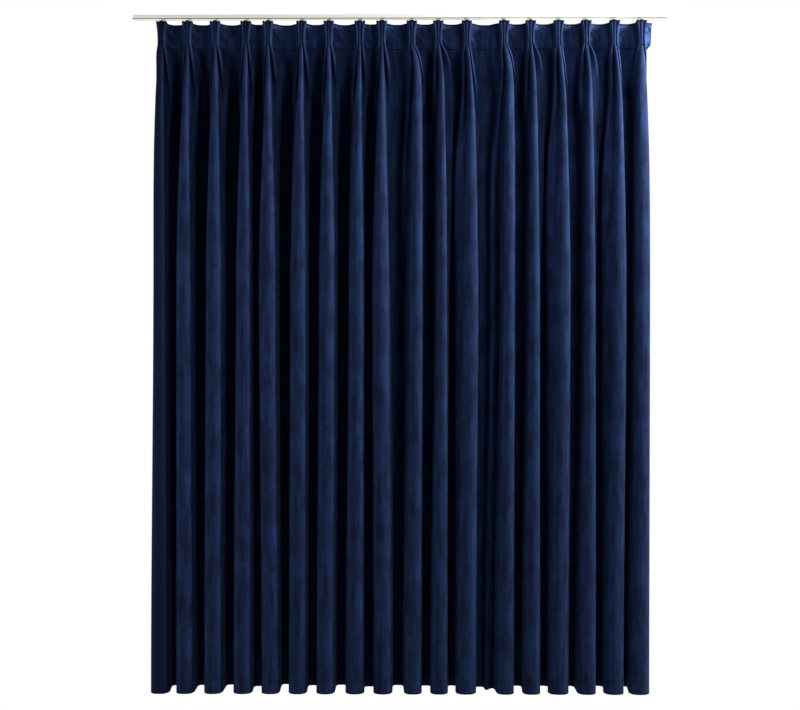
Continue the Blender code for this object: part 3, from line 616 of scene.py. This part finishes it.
def velvet_material():
    """Navy velvet: colour and relief from where each point lies on the flat cloth."""
    settings = bpy.context.scene.curtain_cloth
    material, tree, shader = new_material("navy_velvet")
    cloth = add_node(tree, "ShaderNodeUVMap", uv_map="flat_cloth").outputs["UV"]
    beside = add_node(tree, "ShaderNodeAttribute", attribute_name="beside_pleat").outputs["Fac"]
    split = add_node(tree, "ShaderNodeSeparateXYZ")
    tree.links.new(cloth, split.inputs["Vector"])
    down = math_node(tree, "SUBTRACT", settings.drop, split.outputs["Y"])

    # crushed pile: broad upright patches, short streaks and a few dark smudges
    patches = pattern(tree, cloth, PATCHES)
    streaks = pattern(tree, cloth, STREAKS)
    smudges = pattern(tree, cloth, SMUDGES)
    pile = math_node(tree, "ADD", math_node(tree, "MULTIPLY", patches, PATCH_SHARE),
                     math_node(tree, "MULTIPLY", streaks, STREAK_SHARE))
    smudged = math_node(tree, "MULTIPLY", smudges, SMUDGE_SHARE)
    pile = math_node(tree, "MULTIPLY", pile, math_node(
        tree, "ADD", smudged, 1 - SMUDGE_SHARE))

    # painted shade: the colour of the flap and the first fold at the left selvedge is darkened
    turned = map_range(tree, split.outputs["X"], FIRST_FOLD_SHADE_FROM, FIRST_FOLD_SHADE_TO, FIRST_FOLD_SHADE_SHARE, 1)
    pile = math_node(tree, "MULTIPLY", pile, turned)

    # heading: creases where the heading is drawn in beside each pleat, deepest next to it, with
    # painted light on them that is brightest next to the pleat and fades into painted shade
    # towards the next one
    inside = map_range(
        tree, down, HEADING + CREASES_END[0], HEADING + CREASES_END[1], 1, 0)
    pulled_and_lit = math_node(tree, "MULTIPLY", beside, inside)
    slant = add_node(tree, "ShaderNodeVectorRotate", rotation_type="Z_AXIS")
    slant.inputs["Angle"].default_value = CREASE_SLANT
    tree.links.new(cloth, slant.inputs["Vector"])
    creases = pattern(tree, slant.outputs["Vector"], CREASES)
    # painted highlight on the creases beside each pleat
    crease_highlight = math_node(tree, "MULTIPLY", creases, CREASE_HIGHLIGHT_SHARE)
    pile = math_node(tree, "ADD", pile, math_node(tree, "MULTIPLY", pulled_and_lit, crease_highlight))

    colour = add_node(tree, "ShaderNodeMix", data_type="RGBA", clamp_factor=False)
    colour.inputs["A"].default_value = settings.ground
    colour.inputs["B"].default_value = settings.bloom
    tree.links.new(pile, colour.inputs["Factor"])

    # stitch lines of the heading and of the hem, and painted shade along the top and hem edges
    stitch = math_node(
        tree, "MAXIMUM", line_mask(tree, down, HEADING + STITCH_BELOW_HEADING, STITCH_HALF),
        line_mask(tree, down, settings.drop - settings.hem, STITCH_HALF))
    top = map_range(tree, down, TOP_EDGE[0], TOP_EDGE[1], 1, 0)
    bottom = map_range(tree, down, settings.drop - HEM_EDGE[0], settings.drop - HEM_EDGE[1])
    ends = math_node(tree, "MAXIMUM", top, bottom)
    dark = math_node(tree, "MAXIMUM", math_node(tree, "MULTIPLY", stitch, STITCH_SHADE),
                     math_node(tree, "MULTIPLY", ends, EDGE_SHADE))
    edged = add_node(tree, "ShaderNodeMix", data_type="RGBA")
    tree.links.new(dark, edged.inputs["Factor"])
    tree.links.new(colour.outputs["Result"], edged.inputs["A"])
    edged.inputs["B"].default_value = settings.edge
    tree.links.new(edged.outputs["Result"], shader.inputs["Base Color"])

    # relief: the creases, the pinch of the stitches, and the pile itself
    crease_relief = add_node(tree, "ShaderNodeBump")
    crease_relief.inputs["Strength"].default_value = 1.0
    crease_relief.inputs["Distance"].default_value = CREASE_DEPTH
    height = math_node(tree, "SUBTRACT", math_node(tree, "MULTIPLY", creases, pulled_and_lit),
                       math_node(tree, "MULTIPLY", stitch, STITCH_PINCH))
    tree.links.new(height, crease_relief.inputs["Height"])
    bump = add_node(tree, "ShaderNodeBump")
    bump.inputs["Strength"].default_value = PILE_STRENGTH
    bump.inputs["Distance"].default_value = PILE_DEPTH
    tree.links.new(noise(tree, cloth, PILE_SCALE, (1, 1, 1)), bump.inputs["Height"])
    tree.links.new(crease_relief.outputs["Normal"], bump.inputs["Normal"])
    tree.links.new(bump.outputs["Normal"], shader.inputs["Normal"])
    shader.inputs["Roughness"].default_value = 0.8
    shader.inputs["Specular IOR Level"].default_value = 0.10
    shader.inputs["Sheen Weight"].default_value = 1.0
    shader.inputs["Sheen Roughness"].default_value = 0.35
    shader.inputs["Sheen Tint"].default_value = settings.sheen
    return material


def plain_material(name, colour, roughness, metallic=0.0, glow=0.0):
    """One colour with a fine grain in its gloss, and a painted glow in that colour where a glow is
    given.
    """
    material, tree, shader = new_material(name)
    group = bpy.data.node_groups.get("fine_grain") or grain_group()
    grain = use_group(tree, group, Roughness=roughness)
    place = add_node(tree, "ShaderNodeTexCoord")
    tree.links.new(place.outputs["Object"], grain.inputs["Vector"])
    tree.links.new(grain.outputs["Roughness"], shader.inputs["Roughness"])
    shader.inputs["Base Color"].default_value = colour
    shader.inputs["Metallic"].default_value = metallic
    shader.inputs["Emission Color"].default_value = colour
    shader.inputs["Emission Strength"].default_value = glow
    return material


def track_material():
    """Satin coating with a painted glow, and the painted shade of the slot along the channel's
    front lip.
    """
    settings = bpy.context.scene.curtain_track
    material = plain_material("track_coating", settings.coat, COAT_ROUGHNESS, glow=COAT_PAINTED_GLOW)
    tree = material.node_tree
    shader = tree.nodes["Principled BSDF"]
    place = add_node(tree, "ShaderNodeTexCoord")
    split = add_node(tree, "ShaderNodeSeparateXYZ")
    tree.links.new(place.outputs["Object"], split.inputs["Vector"])
    shaded = [TRACK_LOW[2] + height for height in SHADE_HEIGHTS]
    low = map_range(tree, split.outputs["Z"], shaded[0], shaded[1], 1, 0)
    near = map_range(tree, split.outputs["Y"], -SHADE_DEPTH, SHADE_DEPTH, 1, 0)
    shade = add_node(tree, "ShaderNodeMix", data_type="RGBA")
    tree.links.new(math_node(tree, "MULTIPLY", low, near), shade.inputs["Factor"])
    shade.inputs["A"].default_value = settings.coat
    shade.inputs["B"].default_value = settings.shade
    tree.links.new(shade.outputs["Result"], shader.inputs["Base Color"])
    tree.links.new(shade.outputs["Result"], shader.inputs["Emission Color"])
    return material


# ------------------------------------------------------------------ mesh tools
CLOTH_SMOOTH = math.radians(75)
TRACK_SMOOTH = math.radians(40)
BEVEL_PARTS = 2
CAP_PLATE = 0.002                # thickness of an end cap's plate
CAP_INSET = 0.0020               # from the plate's edge to its plug
CAP_ROUNDING = 0.0005


def only(item):
    """Make an object the one that is selected and active."""
    bpy.ops.object.select_all(action="DESELECT")
    item.select_set(True)
    bpy.context.view_layer.objects.active = item


def apply_all(item):
    only(item)
    for modifier in list(item.modifiers):
        bpy.ops.object.modifier_apply(modifier=modifier.name)


def settle(item, name, material):
    """Name a finished piece, put its place in its mesh and give it its material."""
    only(item)
    bpy.ops.object.transform_apply(location=True, rotation=True, scale=True)
    item.name = name
    item.data.name = name
    item.data.materials.clear()
    item.data.materials.append(material)
    return item


class CURTAIN_OT_velvet_panel(bpy.types.Operator):
    """Shape the velvet sheet into its pinch pleats and folds"""
    bl_idname = "curtain.velvet_panel"
    bl_label = "Velvet panel"

    def execute(self, context):
        settings = context.scene.curtain_cloth
        drops = row_drops(settings.drop)
        flats, xs, ys = (np.array(part) for part in zip(*(row_points(drop) for drop in drops)))
        across, down = flats.shape[1] - 1, flats.shape[0] - 1
        bpy.ops.object.select_all(action="DESELECT")
        bpy.ops.mesh.primitive_grid_add(
            x_subdivisions=across, y_subdivisions=down, size=2, calc_uvs=False)
        panel = context.object
        mesh = panel.data
        places = np.empty(len(mesh.vertices) * 3)
        mesh.vertices.foreach_get("co", places)
        places = places.reshape(-1, 3)
        column = np.rint((places[:, 0] + 1) / 2 * across).astype(int)
        row = np.rint((1 - places[:, 1]) / 2 * down).astype(int)
        heights = CLOTH_HIGH[2] - drops[row]
        shaped = np.stack([xs[row, column], ys[row, column], heights], axis=1)
        flat = flats[row, column]
        sag = top_edge(flat, settings.side_dip, settings.panel_dip)
        shaped[:, 2] -= sag * (1 - rise(drops[row], SAG_HALF_GONE, SAG_FADES_OVER))
        mesh.vertices.foreach_set("co", shaped.ravel())
        self.lay_flat(mesh, flat, settings.drop - drops[row])
        beside = mesh.attributes.new("beside_pleat", "FLOAT", "POINT")
        beside.data.foreach_set("value", beside_pleat(flat))
        solid = panel.modifiers.new("Cloth thickness", "SOLIDIFY")
        solid.thickness = settings.thickness
        solid.offset = 0
        solid.use_even_offset = True
        apply_all(panel)
        bpy.ops.object.shade_smooth_by_angle(angle=CLOTH_SMOOTH)
        settle(panel, "velvet_panel", velvet_material())
        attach(panel, BODY)
        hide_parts("curtain_panel")
        return {"FINISHED"}

    @staticmethod
    def lay_flat(mesh, across, up):
        """A UV map that holds each point's place on the flat cloth, in metres."""
        layer = mesh.uv_layers.new(name="flat_cloth")
        corner = np.empty(len(mesh.loops), dtype=int)
        mesh.loops.foreach_get("vertex_index", corner)
        layer.uv.foreach_set("vector", np.stack([across, up], axis=1)[corner].ravel())


def pleat_middles():
    """Where the middle of each pleat lies across the flat cloth."""
    lengths = [cloth_between(left, right) for left, right in zip(PLEATS, PLEATS[1:])]
    return 3 * FOLD + END_FLAP + np.concatenate([[0], np.cumsum(lengths)])


def beside_pleat(flat):
    """1 on the cloth just right of each pleat, fading to 0 across the gap: where the heading's
    creases and their painted light lie.
    """
    middles = pleat_middles()
    number = np.clip(np.searchsorted(middles, flat, side="right") - 1, 0, None)
    away = flat - middles[number] - 3 * FOLD
    return np.where(away < -CREASE, 0.0, 1 - rise(away, CREASES_AND_LIGHT_HALF_GONE, CREASES_AND_LIGHT_FADE_OVER))


def top_edge(flat, side_dip, panel_dip):
    """How far the top edge lies below the pleats' middle folds at each column."""
    away = np.abs(flat[..., None] - pleat_middles()).min(axis=-1)
    outside = rise(away, PANEL_BEGINS, PANEL_BEGINS_OVER)
    return side_dip * rise(away, FOLD, FOLD) * (1 - outside) + panel_dip * outside


class CURTAIN_OT_track(bpy.types.Operator):
    """Draw the ceiling track as a folded strip, then give it its wall"""
    bl_idname = "curtain.track"
    bl_label = "Ceiling track"

    def execute(self, context):
        settings = context.scene.curtain_track
        length = TRACK_HIGH[0] - TRACK_LOW[0]
        depth = TRACK_HIGH[1] - TRACK_LOW[1]
        height = TRACK_HIGH[2] - TRACK_LOW[2]
        lip = (depth - settings.slot) / 2
        bpy.ops.object.select_all(action="DESELECT")
        bpy.ops.mesh.primitive_plane_add(
            size=1, location=(0, TRACK_LOW[1] + lip / 2, TRACK_LOW[2]))
        track = context.object
        track.scale = (length, lip, 1)
        bpy.ops.object.transform_apply(location=True, rotation=True, scale=True)
        bpy.ops.object.mode_set(mode="EDIT")
        strip = bmesh.from_edit_mesh(track.data)
        bpy.ops.mesh.select_all(action="DESELECT")
        front = min(strip.edges, key=lambda edge: sum(vert.co.y for vert in edge.verts))
        front.select = True
        bmesh.update_edit_mesh(track.data)
        for move in ((0, 0, height), (0, depth, 0), (0, 0, -height), (0, -lip, 0)):
            bpy.ops.mesh.extrude_region_move(TRANSFORM_OT_translate={"value": move})
        bpy.ops.mesh.select_all(action="SELECT")
        bpy.ops.mesh.normals_make_consistent(inside=False)
        strip = bmesh.from_edit_mesh(track.data)
        top = max(strip.faces, key=lambda face: face.calc_center_median().z)
        if top.normal.z < 0:
            bpy.ops.mesh.flip_normals()
        bpy.ops.object.mode_set(mode="OBJECT")
        wall = track.modifiers.new("Wall", "SOLIDIFY")
        wall.thickness = settings.wall
        wall.offset = -1
        wall.use_even_offset = True
        edges = track.modifiers.new("Edges", "BEVEL")
        edges.width = settings.rounding
        edges.segments = BEVEL_PARTS
        apply_all(track)
        bpy.ops.object.shade_smooth_by_angle(angle=TRACK_SMOOTH)
        coat = track_material()
        settle(track, "track_channel", coat)
        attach(track, BODY)
        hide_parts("track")
        for side, node in ((-1, "end_cap_left"), (1, "end_cap_right")):
            self.end_cap(context, side, node, coat)
        return {"FINISHED"}

    @staticmethod
    def end_cap(context, side, node, coat):
        """A plate at the track's end, with its plug extruded into the channel."""
        low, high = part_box(node)
        size = [high[axis] - low[axis] for axis in range(3)]
        bpy.ops.object.select_all(action="DESELECT")
        plate_x = high[0] - CAP_PLATE / 2 if side > 0 else low[0] + CAP_PLATE / 2
        bpy.ops.mesh.primitive_cube_add(size=1, location=(plate_x, 0, (low[2] + high[2]) / 2))
        plate = context.object
        plate.scale = (CAP_PLATE, size[1], size[2])
        bpy.ops.object.transform_apply(location=True, rotation=True, scale=True)
        bpy.ops.object.mode_set(mode="EDIT")
        shape = bmesh.from_edit_mesh(plate.data)
        for face in shape.faces:
            face.select = face.normal.x * side < -0.5
        bmesh.update_edit_mesh(plate.data)
        bpy.ops.mesh.inset(thickness=CAP_INSET)
        bpy.ops.mesh.extrude_region_move(
            TRANSFORM_OT_translate={"value": (-side * (size[0] - CAP_PLATE), 0, 0)})
        bpy.ops.object.mode_set(mode="OBJECT")
        edges = plate.modifiers.new("Edges", "BEVEL")
        edges.width = CAP_ROUNDING
        edges.segments = BEVEL_PARTS
        apply_all(plate)
        bpy.ops.object.shade_smooth_by_angle(angle=TRACK_SMOOTH)
        settle(plate, node + "_moulded", coat)
        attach(plate, BODY)
        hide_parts(node)


def finish_nodes(kind, material):
    """Give the gliders or the hooks, one at each pleat, their material."""
    for number in range(1, len(PLEATS) + 1):
        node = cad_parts[f"{kind}_{number:02d}"]
        node.data.materials.clear()
        node.data.materials.append(material)


class CURTAIN_OT_gliders(bpy.types.Operator):
    """Finish the gliders above the pleats"""
    bl_idname = "curtain.gliders"
    bl_label = "Gliders"

    def execute(self, context):
        settings = context.scene.curtain_track
        # painted glow: the gliders' plastic is made to glow in its own colour
        finish_nodes("glider", plain_material(
            "glider_plastic", settings.glider, GLIDER_ROUGHNESS, glow=GLIDER_PAINTED_GLOW))
        return {"FINISHED"}


class CURTAIN_OT_hooks(bpy.types.Operator):
    """Finish the wire hooks behind the pleats"""
    bl_idname = "curtain.hooks"
    bl_label = "Hooks"

    def execute(self, context):
        finish_nodes("hook", plain_material("hook_wire", STEEL, STEEL_ROUGHNESS, metallic=1.0))
        return {"FINISHED"}


# ---------------------------------------------------------------------- stage
FLOOR_SIZE = 14
FLOOR_BELOW_HEM = 0.09
FLOOR_GREY = (0.25, 0.25, 0.25, 1)
WHITE = (1, 1, 1, 1)
ROOM_LIGHT = 0.056               # the white surround as it lights the pieces
CAMERA_DISTANCE = 3.10           # from the fronts of the folds
CAMERA_TURN = math.radians(0.36)
CAMERA_ABOVE_HEM = 1.1385
CAMERA_RISE = 25 / 800           # lens shift
SENSOR = 36                      # millimetres
VIEW_WIDTH = 800 * 0.00362       # width in view at the fronts of the folds
LAMP_AIM = Vector((0, 0, -1.1))


def studio_white():
    """White to the camera, and dim enough in its bounce that the hem stays dark."""
    material, tree, shader = new_material("studio_white")
    shader.inputs["Base Color"].default_value = FLOOR_GREY
    shader.inputs["Roughness"].default_value = 0.9
    glow = add_node(tree, "ShaderNodeEmission")
    path = add_node(tree, "ShaderNodeLightPath")
    mix = add_node(tree, "ShaderNodeMixShader")
    out = tree.nodes["Material Output"]
    tree.links.new(path.outputs["Is Camera Ray"], mix.inputs[0])
    tree.links.new(shader.outputs["BSDF"], mix.inputs[1])
    tree.links.new(glow.outputs["Emission"], mix.inputs[2])
    tree.links.new(mix.outputs["Shader"], out.inputs["Surface"])
    return material


Lamp = namedtuple("Lamp", "name place size power")
LAMPS = (
    Lamp("front_right", (1.1, -1.7, 0.4), 0.6, 11.8),
    Lamp("front_left", (-2.2, -1.7, -0.6), 0.8, 8.5),
    Lamp("right_near_top", (1.8, -0.4, 0.3), 0.4, 56),
    Lamp("right_side_low", (3.2, -0.36, -2.0), 0.8, 40),
    Lamp("left_side_low", (-3.2, -0.36, -2.0), 0.8, 20),
    Lamp("left_side", (-3.2, -0.5, -0.7), 0.8, 3.5),
    Lamp("behind", (1.2, 2.8, -0.2), 1.2, 45),
)


class CURTAIN_OT_stage(bpy.types.Operator):
    """Set up the floor, the lights and the camera"""
    bl_idname = "curtain.stage"
    bl_label = "Stage"

    def execute(self, context):
        scene = context.scene
        bpy.ops.object.select_all(action="DESELECT")
        bpy.ops.mesh.primitive_plane_add(
            size=FLOOR_SIZE, location=(0, 0, CLOTH_LOW[2] - FLOOR_BELOW_HEM))
        floor = context.object
        floor.name = "studio_floor"
        floor.data.materials.append(studio_white())
        self.surround(scene)
        for lamp in LAMPS:
            self.light(*lamp)
        camera = bpy.data.cameras.new("studio_camera")
        item = bpy.data.objects.new("studio_camera", camera)
        scene.collection.objects.link(item)
        scene.camera = item
        away = CAMERA_DISTANCE - LOBE_FRONT
        item.location = (math.sin(CAMERA_TURN) * away, -math.cos(CAMERA_TURN) * away,
                         CLOTH_LOW[2] + CAMERA_ABOVE_HEM)
        item.rotation_euler = (math.radians(90), 0, CAMERA_TURN)
        camera.sensor_width = SENSOR
        camera.lens = SENSOR * CAMERA_DISTANCE / VIEW_WIDTH
        camera.shift_y = CAMERA_RISE
        camera.clip_end = 50
        scene.view_settings.view_transform = "Standard"
        return {"FINISHED"}

    @staticmethod
    def surround(scene):
        """White to the camera, and a faint even light on the pieces."""
        world = bpy.data.worlds.new("studio") if scene.world is None else scene.world
        scene.world = world
        world.use_nodes = True
        tree = world.node_tree
        tree.nodes.clear()
        seen = add_node(tree, "ShaderNodeBackground")
        lit = add_node(tree, "ShaderNodeBackground")
        for node, strength in ((seen, 1.0), (lit, ROOM_LIGHT)):
            node.inputs["Color"].default_value = WHITE
            node.inputs["Strength"].default_value = strength
        path = add_node(tree, "ShaderNodeLightPath")
        mix = add_node(tree, "ShaderNodeMixShader")
        out = add_node(tree, "ShaderNodeOutputWorld")
        tree.links.new(path.outputs["Is Camera Ray"], mix.inputs[0])
        tree.links.new(lit.outputs[0], mix.inputs[1])
        tree.links.new(seen.outputs[0], mix.inputs[2])
        tree.links.new(mix.outputs[0], out.inputs[0])

    @staticmethod
    def light(name, place, size, power):
        """One soft square lamp aimed at the middle of the curtain."""
        bpy.ops.object.light_add(type="AREA", location=place)
        lamp = bpy.context.object
        lamp.name = name
        lamp.data.energy = power
        lamp.data.size = size
        aim = LAMP_AIM - Vector(place)
        lamp.rotation_euler = aim.to_track_quat("-Z", "Y").to_euler()


class CURTAIN_PT_panel(bpy.types.Panel):
    """Curtain tools in the sidebar"""
    bl_label = "Pinch Pleat Curtain"
    bl_idname = "CURTAIN_PT_panel"
    bl_space_type = "VIEW_3D"
    bl_region_type = "UI"
    bl_category = "Curtain"

    def draw(self, context):
        for operator in OPERATORS:
            self.layout.operator(operator.bl_idname)
        for settings in (context.scene.curtain_cloth, context.scene.curtain_track):
            for name in settings.bl_rna.properties.keys():
                if name not in ("rna_type", "name"):
                    self.layout.prop(settings, name)


SETTINGS = (CurtainCloth, CurtainTrack)
OPERATORS = (CURTAIN_OT_velvet_panel, CURTAIN_OT_track, CURTAIN_OT_gliders, CURTAIN_OT_hooks,
             CURTAIN_OT_stage)


def register():
    for kind in SETTINGS + OPERATORS + (CURTAIN_PT_panel,):
        bpy.utils.register_class(kind)
    bpy.types.Scene.curtain_cloth = bpy.props.PointerProperty(type=CurtainCloth)
    bpy.types.Scene.curtain_track = bpy.props.PointerProperty(type=CurtainTrack)


def unregister():
    del bpy.types.Scene.curtain_track
    del bpy.types.Scene.curtain_cloth
    for kind in reversed(SETTINGS + OPERATORS + (CURTAIN_PT_panel,)):
        bpy.utils.unregister_class(kind)


def main():
    """Build every piece and the stage."""
    register()
    bpy.ops.curtain.velvet_panel()
    bpy.ops.curtain.track()
    bpy.ops.curtain.gliders()
    bpy.ops.curtain.hooks()
    bpy.ops.curtain.stage()


if __name__ == "__main__":
    main()
